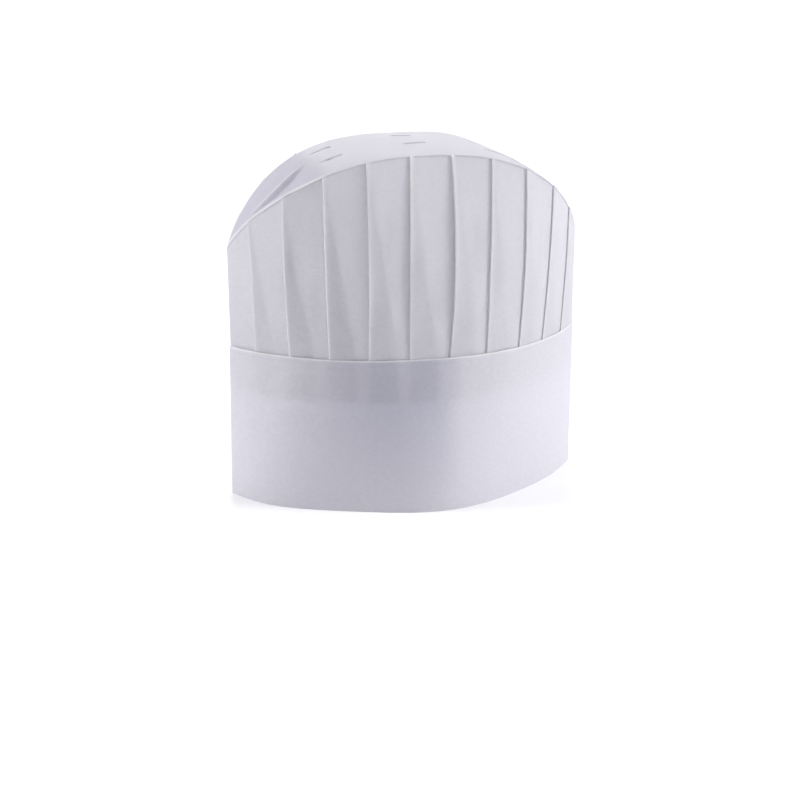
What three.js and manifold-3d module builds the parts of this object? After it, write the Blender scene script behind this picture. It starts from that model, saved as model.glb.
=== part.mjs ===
// A disposable chef hat of thin non-woven cloth, standing open on its rim.
// Millimetres. +X runs from crease to crease, -Y is the front and +Z is up.
// The origin is on the surface that the hat stands on, under the middle of the hat.
import * as THREE from "three";
import { mergeVertices } from "three/addons/utils/BufferGeometryUtils.js";
import Module from "manifold-3d";

// Driving dimensions: the hat as it lies folded flat, and how far it is opened.
const FLAT_WIDTH = 290;
const CREASE_ANGLE = THREE.MathUtils.degToRad(55.34);
const BAND_HEIGHT = 106.6;
const SIDE_HEIGHT = 171.5;
const CROWN_HEIGHT = 239.5;
const STRIP_HALF_WIDTH = 56.3;

// Cloth and the clearance between pieces.
const BAND_CLOTH = 1.2;
const CLOTH = 1.0;
const CLEARANCE = 0.3;

// The arch of the top seam and the lens of the top strip, as powers of the place along X.
const ARCH_SHOULDER = 2.441;
const ARCH_ROUNDNESS = 1.344;
const LENS_SHOULDER = 4.048;
const LENS_ROUNDNESS = 0.906;

// Pleats.
const PLEAT_PITCH = 27.3;
const LAYER_PITCH = CLOTH + CLEARANCE;
const SEAM_UNDERLAP = 3;
const TUCK_DEPTH = 29;
const CROWN_BULGE = 2;
const SEAM_SPREAD = 0.017;
const CROWN_ROWS = 8;
const FACET_STEPS = 3;

// Each fold's drift from its even place along the wall, and how far its cloth reaches under itself.
const FOLDS = [
  { atBand: 0.4, atMiddle: 0.0, atSeam: -1.4, underlap: 15 },
  { atBand: -0.6, atMiddle: -2.5, atSeam: -2.4, underlap: 17 },
  { atBand: 0.1, atMiddle: -1.4, atSeam: -1.8, underlap: 18 },
  { atBand: -0.5, atMiddle: 0.1, atSeam: -0.2, underlap: 19 },
  { atBand: -0.4, atMiddle: -0.1, atSeam: 1.2, underlap: 19 },
  { atBand: -0.3, atMiddle: 2.7, atSeam: 1.1, underlap: 18 },
  { atBand: -0.8, atMiddle: 0.4, atSeam: 0.9, underlap: 18 },
  { atBand: -1.0, atMiddle: 1.0, atSeam: 0.1, underlap: 17 },
  { atBand: -3.4, atMiddle: -0.3, atSeam: 0.9, underlap: 16 },
  { atBand: -4.4, atMiddle: -1.0, atSeam: 1.5, underlap: 15 },
];

// The top strip: its crosswise crown, its blunt tips, and the pushed-in fold near each end. The
// places along the fold are distances from the middle of the hat, and those across it are shares of
// the strip's half width.
const STRIP_CROWN = 2.8;
const STRIP_REACH = 0.95;
const STRIP_STATIONS = 40;
const DENT_LENGTH = { start: 62, deepest: 86, end: 106 };
const DENT_ACROSS = { ridge: 0.25, valley: 0.68, edge: 0.9 };
const DENT_DEPTH = 7;

// The punched vent slits.
const SLIT = { length: 17, width: 3, columnSpacing: 56, rowOffset: 19 };

// Worked out from the sizes above.
const HALF_FLAT = FLAT_WIDTH / 2;
const PLAN_RADIUS = HALF_FLAT / CREASE_ANGLE;
const CHORD_DISTANCE = PLAN_RADIUS * Math.cos(CREASE_ANGLE);
const HALF_LENGTH = PLAN_RADIUS * Math.sin(CREASE_ANGLE);
const BAND_SEGMENTS = 48;

// A point of the headband's plan, at a distance along the arc and a depth inside its outer face.
function planPoint(along, depth) {
  const radius = PLAN_RADIUS - depth;
  const endAngle = Math.acos(CHORD_DISTANCE / radius);
  const angle = (along / HALF_FLAT) * endAngle;
  return new THREE.Vector2(radius * Math.sin(angle), CHORD_DISTANCE - radius * Math.cos(angle));
}

// The height of the top seam over a place along X.
function archHeight(x) {
  const share = Math.min(Math.abs(x) / HALF_LENGTH, 1);
  const rise = CROWN_HEIGHT - SIDE_HEIGHT;
  return SIDE_HEIGHT + rise * (1 - share ** ARCH_SHOULDER) ** (1 / ARCH_ROUNDNESS);
}

// Half the width of the top strip at a place along X.
function lensHalfWidth(x) {
  const share = Math.min(Math.abs(x) / HALF_LENGTH, 1);
  return STRIP_HALF_WIDTH * (1 - share ** LENS_SHOULDER) ** (1 / LENS_ROUNDNESS);
}

// The outward normal of the arch, in the plane of X and Z.
function archNormal(x) {
  const step = 0.05;
  const left = Math.max(x - step, -HALF_LENGTH);
  const right = Math.min(x + step, HALF_LENGTH);
  const run = right - left;
  const climb = archHeight(right) - archHeight(left);
  return new THREE.Vector2(-climb, run).normalize();
}

// The mesh of a wall that closes on itself: rows of points, the same number outside and inside.
function closedWall(outerRows, innerRows) {
  const rows = [...outerRows, ...innerRows.toReversed()];
  const count = rows[0].length;
  const positions = rows.flat().flatMap((point) => [point.x, point.y, point.z]);
  const indices = [];
  for (let row = 0; row < rows.length; row++) {
    const next = (row + 1) % rows.length;
    for (let i = 0; i < count; i++) {
      const j = (i + 1) % count;
      const [a, b] = [row * count + i, row * count + j];
      const [c, d] = [next * count + j, next * count + i];
      indices.push(a, b, c, a, c, d);
    }
  }
  const geometry = new THREE.BufferGeometry();
  geometry.setAttribute("position", new THREE.Float32BufferAttribute(positions, 3));
  geometry.setIndex(indices);
  return geometry;
}

// The points of one row, turned half a turn about Z to make the back of the hat.
function withBack(frontPoints) {
  const back = frontPoints.map((point) => new THREE.Vector3(-point.x, -point.y, point.z));
  return [...frontPoints, ...back];
}

// The headband: a plain wall with the plan of a lens.
function headbandGeometry() {
  const ring = (depth, z) => {
    const points = [];
    for (let i = 0; i < BAND_SEGMENTS; i++) {
      const place = planPoint(-HALF_FLAT + (FLAT_WIDTH * i) / BAND_SEGMENTS, depth);
      points.push(new THREE.Vector3(place.x, place.y, z));
    }
    return withBack(points);
  };
  const heights = [0, BAND_HEIGHT / 2, BAND_HEIGHT];
  const outer = heights.map((z) => ring(0, z));
  const inner = heights.map((z) => ring(BAND_CLOTH, z));
  return closedWall(outer, inner);
}

// Where a fold's edge lies along the wall, at a share of the way from the headband to the seam.
function foldPlace(index, share) {
  const fold = FOLDS[index];
  const even = (index - (FOLDS.length - 1) / 2) * PLEAT_PITCH;
  const bow = 4 * share * (1 - share);
  const straight = fold.atBand * (1 - share) + fold.atSeam * share;
  const middle = (fold.atBand + fold.atSeam) / 2;
  return even + straight + (fold.atMiddle - middle) * bow;
}

// A point of the crown's outer face. A share of 0 is the headband's top and 1 is the top seam.
function crownPoint(along, share) {
  const foot = planPoint(along, BAND_CLOTH + CLEARANCE);
  const inner = 1 - (along / HALF_FLAT) ** 4;
  const seamX = foot.x * (1 + SEAM_SPREAD * inner);
  const normal = archNormal(seamX);
  const under = CLOTH + CLEARANCE;
  const seam = new THREE.Vector3(
    seamX - normal.x * under,
    -lensHalfWidth(seamX),
    archHeight(seamX) - normal.y * under,
  );
  const point = new THREE.Vector3(foot.x, foot.y, BAND_HEIGHT).lerp(seam, share);
  point.y -= CROWN_BULGE * Math.sin(Math.PI * share) * inner;
  return point;
}

// The way into the hat, square to the line from one point to the next in plan.
function inwardBetween(from, to) {
  return new THREE.Vector3(from.y - to.y, to.x - from.x, 0).normalize();
}

// The points of one facet after its first one. It is flat in plan and follows the arch in height.
function facet(start, end, from, to, share) {
  const points = [];
  for (let step = 1; step < FACET_STEPS; step++) {
    const part = step / FACET_STEPS;
    const point = start.clone().lerp(end, part);
    point.z = crownPoint(THREE.MathUtils.lerp(from, to, part), share).z;
    points.push(point);
  }
  return [...points, end];
}

// The middle of the cloth along one row of the front: each pleat is a facet that runs on under the
// next fold, turns back, and comes out again at the fold's edge as the next facet.
function pleatLine(share, drop) {
  const folds = FOLDS.map((fold, index) => foldPlace(index, share));
  const places = [-HALF_FLAT, ...folds, HALF_FLAT];
  const edges = places.map((place) => crownPoint(place, share));
  const creaseInset = CLOTH / 2 / Math.sin(CREASE_ANGLE);
  const stack = CLOTH / 2 + 2 * LAYER_PITCH;
  const sunk = (index, depth) => {
    const inward = inwardBetween(edges[index], edges[index + 1]);
    return edges[index].clone().addScaledVector(inward, depth);
  };
  const leftCrease = edges[0].clone();
  leftCrease.x += creaseInset;
  const rightCrease = edges.at(-1).clone();
  rightCrease.x -= creaseInset;
  const line = [leftCrease, ...facet(leftCrease, sunk(1, stack), places[0], places[1], share)];
  for (let index = 1; index <= FOLDS.length; index++) {
    const inward = inwardBetween(edges[index], edges[index + 1]);
    const start = sunk(index, CLOTH / 2);
    const end = index < FOLDS.length ? sunk(index + 1, stack) : rightCrease;
    const reach = FOLDS[index - 1].underlap * (1 - share) + SEAM_UNDERLAP * share;
    const turn = start.clone().lerp(end, reach / start.distanceTo(end));
    const layer = (point, depth) => point.clone().addScaledVector(inward, depth * LAYER_PITCH);
    line.push(layer(turn, 2), layer(turn, 1), layer(start, 1), start);
    line.push(...facet(start, end, places[index], places[index + 1], share));
  }
  line.forEach((point) => {
    point.z -= drop;
  });
  return line;
}

// A closed line moved sideways in plan, with mitred corners. Positive goes to the left of the line.
function offsetLine(points, distance) {
  const count = points.length;
  return points.map((point, i) => {
    const before = points[(i + count - 1) % count];
    const after = points[(i + 1) % count];
    const arriving = inwardBetween(before, point);
    const leaving = inwardBetween(point, after);
    const mitre = arriving.clone().add(leaving).divideScalar(1 + arriving.dot(leaving));
    return point.clone().addScaledVector(mitre, distance);
  });
}

// The crown's wall, from its foot tucked inside the headband up to the top seam.
function crownGeometry() {
  const rows = [pleatLine(0, TUCK_DEPTH)];
  for (let row = 0; row <= CROWN_ROWS; row++) {
    rows.push(pleatLine(row / CROWN_ROWS, 0));
  }
  const loops = rows.map((row) => withBack(row.slice(0, -1)));
  const outer = loops.map((loop) => offsetLine(loop, -CLOTH / 2));
  const inner = loops.map((loop) => offsetLine(loop, CLOTH / 2));
  return closedWall(outer, inner);
}

// How far the pushed-in fold lowers the strip. The fold lies towards the front seam at the left end,
// and towards the back seam at the right end.
function dentDepth(x, side) {
  const reach = Math.abs(x);
  const across = side * Math.sign(x);
  const { start, deepest, end } = DENT_LENGTH;
  const { ridge, valley, edge } = DENT_ACROSS;
  const rising = THREE.MathUtils.smoothstep(reach, start, deepest);
  const falling = 1 - THREE.MathUtils.smoothstep(reach, deepest, end);
  const farSlope = (across - ridge) / (valley - ridge);
  const nearSlope = (edge - across) / (edge - valley);
  const groove = THREE.MathUtils.clamp(Math.min(farSlope, nearSlope), 0, 1);
  return DENT_DEPTH * rising * falling * groove;
}

// A point of the top strip, on its outer face or a depth below it. Side runs from -1 to 1.
function stripPoint(x, side, depth) {
  const normal = archNormal(x);
  const share = Math.abs(x) / HALF_LENGTH;
  const crown = STRIP_CROWN * (1 - side ** 2) * (1 - share ** 2);
  const lift = crown - dentDepth(x, side) - depth;
  return new THREE.Vector3(
    x + normal.x * lift,
    side * lensHalfWidth(x),
    archHeight(x) + normal.y * lift,
  );
}

// The top strip as one closed sheet, before its slits are punched.
function stripGeometry() {
  const { ridge, valley, edge } = DENT_ACROSS;
  const half = [ridge, (ridge + valley) / 2, valley, edge, 1];
  const sides = [...half.toReversed().map((side) => -side), 0, ...half];
  const rows = [];
  for (let i = 0; i <= STRIP_STATIONS; i++) {
    const turn = (i / STRIP_STATIONS - 0.5) * Math.PI * STRIP_REACH;
    const x = HALF_LENGTH * Math.sin(turn);
    const top = sides.map((side) => stripPoint(x, side, 0));
    const bottom = sides.toReversed().map((side) => stripPoint(x, side, CLOTH));
    rows.push([...top, ...bottom]);
  }
  return loftedSolid(rows);
}

// A solid through closed sections, with a flat lid over the first and the last one.
// Each section goes out along its top and comes back along its bottom.
function loftedSolid(rows) {
  const count = rows[0].length;
  const positions = rows.flat().flatMap((point) => [point.x, point.y, point.z]);
  const indices = [];
  for (let row = 0; row + 1 < rows.length; row++) {
    for (let i = 0; i < count; i++) {
      const j = (i + 1) % count;
      const [a, b] = [row * count + i, row * count + j];
      const [c, d] = [a + count, b + count];
      indices.push(a, c, d, a, d, b);
    }
  }
  const last = (rows.length - 1) * count;
  for (let i = 0; i + 1 < count / 2; i++) {
    const [a, b] = [i, i + 1];
    const [c, d] = [count - 2 - i, count - 1 - i];
    indices.push(a, b, c, a, c, d);
    indices.push(last + c, last + b, last + a, last + d, last + c, last + a);
  }
  const geometry = new THREE.BufferGeometry();
  geometry.setAttribute("position", new THREE.Float32BufferAttribute(positions, 3));
  geometry.setIndex(indices);
  return geometry;
}

// One vent slit's punch: an oblong with round ends, standing through the top of the hat.
function slitPunch(x, y) {
  const straight = (SLIT.length - SLIT.width) / 2;
  const radius = SLIT.width / 2;
  const outline = new THREE.Shape();
  outline.absarc(straight, 0, radius, -Math.PI / 2, Math.PI / 2);
  outline.absarc(-straight, 0, radius, Math.PI / 2, (3 * Math.PI) / 2);
  const height = CROWN_HEIGHT - SIDE_HEIGHT;
  const punch = new THREE.ExtrudeGeometry(outline, { depth: height, bevelEnabled: false, curveSegments: 4 });
  punch.translate(x, y, CROWN_HEIGHT - height / 2);
  return punch;
}

const wasm = await Module();
wasm.setup();

// A closed three.js geometry as a solid that can be cut.
function toSolid(geometry) {
  const bare = geometry.clone();
  bare.deleteAttribute("normal");
  bare.deleteAttribute("uv");
  const merged = mergeVertices(bare, 1e-4);
  const mesh = new wasm.Mesh({
    numProp: 3,
    vertProperties: new Float32Array(merged.attributes.position.array),
    triVerts: new Uint32Array(merged.index.array),
  });
  return new wasm.Manifold(mesh);
}

// A cut solid as a three.js geometry.
function toGeometry(solid) {
  const mesh = solid.getMesh();
  const geometry = new THREE.BufferGeometry();
  geometry.setAttribute("position", new THREE.Float32BufferAttribute(mesh.vertProperties, 3));
  geometry.setIndex(new THREE.BufferAttribute(mesh.triVerts, 1));
  return geometry;
}

// The top strip with its slits: two rows of three, one row near each seam.
function ventedStripGeometry() {
  let strip = toSolid(stripGeometry());
  for (const column of [-1, 0, 1]) {
    for (const row of [-1, 1]) {
      strip = strip.subtract(toSolid(slitPunch(column * SLIT.columnSpacing, row * SLIT.rowOffset)));
    }
  }
  return toGeometry(strip);
}

// A named piece with the look of its cloth.
function piece(name, geometry, color) {
  geometry.computeVertexNormals();
  const material = new THREE.MeshStandardMaterial({ color, roughness: 0.85, metalness: 0, flatShading: true });
  const mesh = new THREE.Mesh(geometry, material);
  mesh.name = name;
  return mesh;
}

const hat = new THREE.Group();
hat.add(piece("headband", headbandGeometry(), 0xdedde9));
hat.add(piece("pleated_crown", crownGeometry(), 0xd9d8e4));
hat.add(piece("top_strip", ventedStripGeometry(), 0xe4e2ee));

export default hat;
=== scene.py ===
"""Dresses a disposable chef hat of thin white non-woven cloth for a studio picture.

Shapes are worked out in millimetres in the hat's own frame, with X from crease to crease, -Y the front
and Z up, and become metres when a mesh is made. Every sheet of cloth is a surface of two parameters:
one along the cloth and one up or across it.
"""

import logging
import math
from dataclasses import dataclass, field
from enum import Enum
from typing import Any

import bpy
import numpy as np
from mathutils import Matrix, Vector
from numpy.typing import NDArray

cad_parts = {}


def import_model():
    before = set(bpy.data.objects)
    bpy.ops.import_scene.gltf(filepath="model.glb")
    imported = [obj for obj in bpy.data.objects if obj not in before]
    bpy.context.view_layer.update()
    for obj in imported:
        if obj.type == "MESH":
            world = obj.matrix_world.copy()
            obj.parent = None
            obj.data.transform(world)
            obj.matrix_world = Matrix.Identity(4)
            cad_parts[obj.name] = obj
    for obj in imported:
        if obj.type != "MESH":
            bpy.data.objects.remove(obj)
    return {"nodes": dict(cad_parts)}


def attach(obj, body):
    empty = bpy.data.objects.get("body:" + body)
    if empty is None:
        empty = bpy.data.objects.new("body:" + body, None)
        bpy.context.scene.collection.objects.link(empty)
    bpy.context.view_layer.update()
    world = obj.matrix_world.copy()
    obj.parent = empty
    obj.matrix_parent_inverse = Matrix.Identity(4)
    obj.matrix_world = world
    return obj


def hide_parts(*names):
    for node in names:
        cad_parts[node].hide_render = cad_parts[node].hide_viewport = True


Array = NDArray[np.float64]
MM = 0.001
BODY = "root"
CLOTH_MAP = "cloth_mm"
SEAM_DISTANCE = "seam_mm"
# The marks that the material reads for the painted highlight and the painted shade.
PAINTED_HIGHLIGHT = "crease"
PAINTED_SHADE = "painted_shade"
# The lengths here are in millimetres and the turns in radians.
FAR_FROM_WELD = 10.0
SHARP_EDGE = math.radians(50)
ROW_CROWDING = 1.4
LEAST_LENGTH = 1e-9
LEAST_TURN = 1e-6
# A Map Range node's settings for a smooth step down from 1 to 0.
SMOOTH_FALL = {"interpolation_type": "SMOOTHSTEP", "To Min": 1.0, "To Max": 0.0}

log = logging.getLogger("chef_hat")


class Held(Enum):
    STRETCHED = "stretched"
    FOLDED = "folded"


class Blend(Enum):
    """How one colour is laid over another, in Blender's words."""

    COVER = "MIX"
    TINT = "MULTIPLY"


def linear(hex_colour: str) -> tuple[float, float, float, float]:
    """Turns an sRGB colour into the linear one that shaders take.

    Args:
        hex_colour: Six hexadecimal digits, red first.

    Returns:
        Linear red, green and blue, and an alpha of 1.
    """
    shares = np.array([int(hex_colour[i : i + 2], 16) for i in (0, 2, 4)]) / 255
    low, high = shares / 12.92, ((shares + 0.055) / 1.055) ** 2.4
    red, green, blue = np.where(shares <= 0.04045, low, high)
    return (float(red), float(green), float(blue), 1.0)


def smooth_step(value: Array, start: float, end: float) -> Array:
    """Rises from 0 at start to 1 at end, level at both: 3t² - 2t³ for the clamped share t of the way."""
    t = np.clip((value - start) / (end - start), 0, 1)
    return t * t * (3 - 2 * t)


def plateau(value: Array, rise: tuple[float, float], fall: tuple[float, float]) -> Array:
    """Rises from 0 to 1 over one stretch and falls back to 0 over another."""
    return smooth_step(value, *rise) * (1 - smooth_step(value, *fall))


def through(band: float, middle: float, seam: float, share: Array) -> Array:
    """The parabola through three values, at the shares 0, one half and 1 of the way up."""
    bow = 4 * share * (1 - share)
    return band * (1 - share) + seam * share + (middle - (band + seam) / 2) * bow


def shares_up(count: int) -> Array:
    """Shares of the way up for a number of rows, which lie closer together toward the top."""
    return 1 - (1 - np.linspace(0, 1, count)) ** ROW_CROWDING


def direction(azimuth: float, elevation: float) -> Vector:
    """The way from the hat to a side, 0 in front and 90 at the right, and a height, both in degrees."""
    side, height = math.radians(azimuth), math.radians(elevation)
    return Vector((math.sin(side) * math.cos(height), -math.cos(side) * math.cos(height), math.sin(height)))


def put_in_scene(name: str, data: bpy.types.ID) -> bpy.types.Object:
    """Makes an object and links it to the scene.

    Args:
        name: The object's name.
        data: Its mesh, light or camera.

    Returns:
        The new object.
    """
    thing = bpy.data.objects.new(name, data)
    bpy.context.collection.objects.link(thing)
    return thing


@dataclass(frozen=True)
class Wave:
    """One long ripple in a sheet of cloth, in millimetres, with its phase in turns."""

    length_along: float
    length_up: float
    phase: float
    height: float


def ripple(along: Array, up: Array, waves: tuple[Wave, ...]) -> Array:
    """Adds up sine waves, each running slantwise over the cloth.

    Args:
        along: Places along the cloth.
        up: Places up or across the cloth.
        waves: The waves to add.

    Returns:
        The sum of height times the sine of a full turn for each length along and up.
    """
    turns = [along / wave.length_along + up / wave.length_up + wave.phase for wave in waves]
    return sum(wave.height * np.sin(2 * np.pi * turn) for wave, turn in zip(waves, turns))


@dataclass(frozen=True)
class HatPlan:
    """The sizes and outlines that all the pieces share, in millimetres.

    The plan of the headband is a lens of two arcs. The top seam is an arch over X, and the top strip is
    a lens that narrows along the arch.

    Attributes:
        flat_width: The hat's width when it is folded flat.
        crease_angle: The angle from the middle of an arc to its end, in radians.
        band_height: The headband's height.
        side_height: How high the top seam is at the creases.
        crown_height: How high it is in the middle.
        strip_half_width: Half the top strip's width in the middle.
        arch_shoulder: The power that shapes the arch over its middle.
        arch_roundness: The power that shapes it near its ends.
        lens_shoulder: The power that shapes the strip's outline over its middle.
        lens_roundness: The power that shapes its points.
        rim_swell: The soft bends of the band at the rim, one height for each term of a sine series.
        top_swell: The same at the band's top.
        rise_place: Where along X the back seam is drawn up.
        rise_width: How wide that rise is.
        rise_height: How high it is.
        crease_spread: How far the left crease stands out from the band's top up.
        rim_spread: How far it stands out at the rim.
        waves: The band's ripples.
    """

    flat_width: float = 290.0
    crease_angle: float = math.radians(55.34)
    band_height: float = 106.6
    side_height: float = 171.5
    crown_height: float = 239.5
    strip_half_width: float = 56.3
    arch_shoulder: float = 2.441
    arch_roundness: float = 1.344
    lens_shoulder: float = 4.048
    lens_roundness: float = 0.906
    rim_swell: tuple[float, ...] = (0.2, -0.2, -0.7, 1.6, 1.2)
    top_swell: tuple[float, ...] = (-0.9, -1.3, 0.7, 0.3, -0.2)
    rise_place: float = 46.0
    rise_width: float = 24.0
    rise_height: float = 2.3
    crease_spread: float = 0.8
    rim_spread: float = 2.8
    waves: tuple[Wave, ...] = (Wave(88.0, 170.0, 0.15, 0.3), Wave(-49.0, 110.0, 0.55, 0.15))

    @property
    def half_flat(self) -> float:
        """Half the width of the hat folded flat."""
        return self.flat_width / 2

    @property
    def radius(self) -> float:
        """The radius of the headband's two arcs."""
        return self.half_flat / self.crease_angle

    @property
    def chord_distance(self) -> float:
        """How far an arc's centre lies from the line between the creases."""
        return self.radius * math.cos(self.crease_angle)

    @property
    def half_length(self) -> float:
        """Half the distance from crease to crease with the hat open."""
        return self.radius * math.sin(self.crease_angle)

    def swell(self, along: Array, up: Array) -> Array:
        """How far the soft cloth of the band stands outside its arc.

        Args:
            along: Distance along the arc.
            up: Height above the floor.

        Returns:
            A sine series over the arc, whose terms change evenly from the rim to the band's top, and
            ripples that die out at the rim and at the creases.
        """
        share = up / self.band_height
        phase = np.pi * (along + self.half_flat) / self.flat_width
        pairs = enumerate(zip(self.rim_swell, self.top_swell), start=1)
        bends = sum((rim + (top - rim) * share) * np.sin(n * phase) for n, (rim, top) in pairs)
        return bends + ripple(along, up, self.waves) * share * np.sin(phase)

    def front_arc(self, along: Array, depth: Array | float, up: Array) -> tuple[Array, Array]:
        """A point of the headband's front, or of the arc that lies a depth inside it.

        Args:
            along: Distance along the outer arc, 0 at the front and half_flat at the right crease.
            depth: Distance inside the outer arc.
            up: Height above the floor.

        Returns:
            X and Y: the sine and cosine of the angle along the arc times the radius less the depth,
            with the angle stretched so that the inner arc still ends on the line between the creases,
            and the radius lengthened by the swell.
        """
        radius = self.radius - depth
        angle = along / self.half_flat * np.arccos(self.chord_distance / radius)
        radius = radius + self.swell(along, up)
        return radius * np.sin(angle), self.chord_distance - radius * np.cos(angle)

    def share_out(self, x: Array) -> Array:
        """The share of the way from the hat's middle to a crease, at most 1."""
        return np.minimum(np.abs(x) / self.half_length, 1)

    def arch(self, x: Array) -> Array:
        """The top seam's height: a superellipse that stands on the side height."""
        rise = (1 - self.share_out(x) ** self.arch_shoulder) ** (1 / self.arch_roundness)
        return self.side_height + (self.crown_height - self.side_height) * rise

    def lens(self, x: Array) -> Array:
        """Half the top strip's width: a superellipse that comes to a point at each end."""
        narrowing = (1 - self.share_out(x) ** self.lens_shoulder) ** (1 / self.lens_roundness)
        return self.strip_half_width * narrowing

    def settle(self, points: Array) -> None:
        """Moves points as the soft hat has settled.

        The back is drawn up beside its middle: a bell over X, which grows from the middle to the back
        seam and from the headband up. The left crease stands out, most at the rim.

        Args:
            points: Points of the hat, which are moved in place.
        """
        x, y, z = (points[..., axis].copy() for axis in range(3))
        climb = np.clip((z - self.band_height) / (self.crown_height - self.band_height), 0, 1)
        bell = np.exp(-(((x - self.rise_place) / self.rise_width) ** 2))
        points[..., 2] += self.rise_height * bell * smooth_step(y, 0, self.strip_half_width) * climb
        low = np.clip(1 - z / self.band_height, 0, 1)
        spread = self.crease_spread + (self.rim_spread - self.crease_spread) * low
        points[..., 0] -= spread * smooth_step(-x, self.half_length / 2, self.half_length)

    def arch_normal(self, x: Array) -> tuple[Array, Array]:
        """The outward normal of the arch, from the rise over a short step.

        Args:
            x: Places along X.

        Returns:
            The normal's X and Z.
        """
        step = 0.05
        left = np.maximum(x - step, -self.half_length)
        right = np.minimum(x + step, self.half_length)
        run, climb = right - left, self.arch(right) - self.arch(left)
        length = np.hypot(run, climb)
        return -climb / length, run / length


def unit(vectors: Array) -> Array:
    """Scales the last axis of an array of vectors to length 1."""
    return vectors / np.maximum(np.linalg.norm(vectors, axis=-1, keepdims=True), LEAST_LENGTH)


def grid_normals(middle: Array, wraps: bool) -> Array:
    """The normal at each point of a grid: the way along its columns crossed with the way up its rows.

    Args:
        middle: Points, by row and column.
        wraps: Whether the last column is next to the first.

    Returns:
        Unit vectors, by row and column.
    """
    if wraps:
        along = np.roll(middle, -1, axis=1) - np.roll(middle, 1, axis=1)
    else:
        along = np.gradient(middle, axis=1)
    return unit(np.cross(unit(along), unit(np.gradient(middle, axis=0))))


def rim_quads(count: int, turned: bool) -> tuple[Array, Array]:
    """Lists the corners of the quads that join the two faces of a sheet along one edge.

    Args:
        count: How many quads there are.
        turned: Whether they run the other way round.

    Returns:
        Each corner's place along the edge and its layer.
    """
    edge = np.arange(count)
    near, far = (edge + 1, edge) if turned else (edge, edge + 1)
    return np.stack([near, far, far, near], 1), np.tile([0, 0, 1, 1], (count, 1))


@dataclass
class Sheet:
    """A sheet of cloth as a closed shell, built round a grid of points in its middle.

    Attributes:
        name: The piece's name.
        middle: Points in the middle of the cloth in millimetres, by row and column.
        thickness: The cloth's thickness.
        across: Each column's place along the cloth. A sheet that wraps has one more, for its closing.
        up: Each point's place up or across the cloth.
        seam_distance: Each point's distance to the nearest welded edge.
        crease: How strongly each point takes the painted highlight along a pressed crease or edge, 1 on it
            and 0 away from it.
        painted_shade: How much painted shade lies on each point, for hidden layers or the shade behind the
            cloth, from 0 to 1.
        wraps: Whether the last column joins the first.
    """

    name: str
    middle: Array
    thickness: float
    across: Array
    up: Array
    seam_distance: Array
    crease: Array
    painted_shade: Array
    wraps: bool

    def corners(self) -> tuple[Array, Array, Array]:
        """Lists the corners of every quad.

        Returns:
            The row, the unwrapped column and the layer (0 outside, 1 inside) of each quad's four corners:
            first the outer face, then the inner face turned over, then the rims that join the two.
        """
        rows, columns = self.middle.shape[:2]
        spans = columns if self.wraps else columns - 1
        r, c = (a.ravel() for a in np.meshgrid(np.arange(rows - 1), np.arange(spans), indexing="ij"))
        outer = np.stack([np.stack([r, r, r + 1, r + 1], 1), np.stack([c, c + 1, c + 1, c], 1)])
        faces = [(outer[0], outer[1], np.zeros_like(outer[0]))]
        faces.append((outer[0][:, ::-1], outer[1][:, ::-1], np.ones_like(outer[0])))
        for row, turned in ((0, True), (rows - 1, False)):
            place, layers = rim_quads(spans, turned)
            faces.append((np.full_like(place, row), place, layers))
        if not self.wraps:
            for column, turned in ((0, False), (columns - 1, True)):
                place, layers = rim_quads(rows - 1, turned)
                faces.append((place, np.full_like(place, column), layers))
        row, column, layer = (np.concatenate(parts) for parts in zip(*faces))
        return row, column, layer

    def build(self) -> bpy.types.Object:
        """Makes the shell: half the thickness goes out along the normal and half goes in.

        Returns:
            The new object, with its cloth map in millimetres and its marks for the material to read.
        """
        rows, columns = self.middle.shape[:2]
        half = grid_normals(self.middle, self.wraps) * (self.thickness / 2)
        points = np.stack([self.middle + half, self.middle - half]) * MM
        row, column, layer = self.corners()
        index = layer * rows * columns + row * columns + column % columns
        mesh = bpy.data.meshes.new(self.name)
        mesh.vertices.add(2 * rows * columns)
        mesh.vertices.foreach_set("co", points.ravel())
        mesh.loops.add(index.size)
        mesh.loops.foreach_set("vertex_index", index.ravel().astype(np.int32))
        mesh.polygons.add(len(index))
        mesh.polygons.foreach_set("loop_start", np.arange(0, index.size, 4, dtype=np.int32))
        cloth = np.stack([self.across[column], self.up[row, column % columns]], axis=-1)
        mesh.uv_layers.new(name=CLOTH_MAP).data.foreach_set("uv", cloth.ravel())
        marks = ((SEAM_DISTANCE, self.seam_distance), (PAINTED_HIGHLIGHT, self.crease), (PAINTED_SHADE, self.painted_shade))
        for name, values in marks:
            attribute = mesh.attributes.new(name, "FLOAT", "POINT")
            attribute.data.foreach_set("value", np.tile(values.ravel(), 2))
        mesh.update(calc_edges=True)
        mesh.polygons.foreach_set("use_smooth", np.ones(len(index), dtype=bool))
        mesh.set_sharp_from_angle(angle=SHARP_EDGE)
        mesh.validate()
        return put_in_scene(self.name, mesh)


def with_back(front: Array) -> Array:
    """Adds the back of the hat to a grid of the front: the same points after half a turn about Z."""
    return np.concatenate([front, front * np.array([-1.0, -1.0, 1.0])], axis=1)


def lengths_along(row: Array) -> Array:
    """The distance along a closed line of points, from the first one round to it again."""
    steps = np.linalg.norm(np.roll(row, -1, axis=0) - row, axis=1)
    return np.concatenate([[0.0], np.cumsum(steps)])


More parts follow.
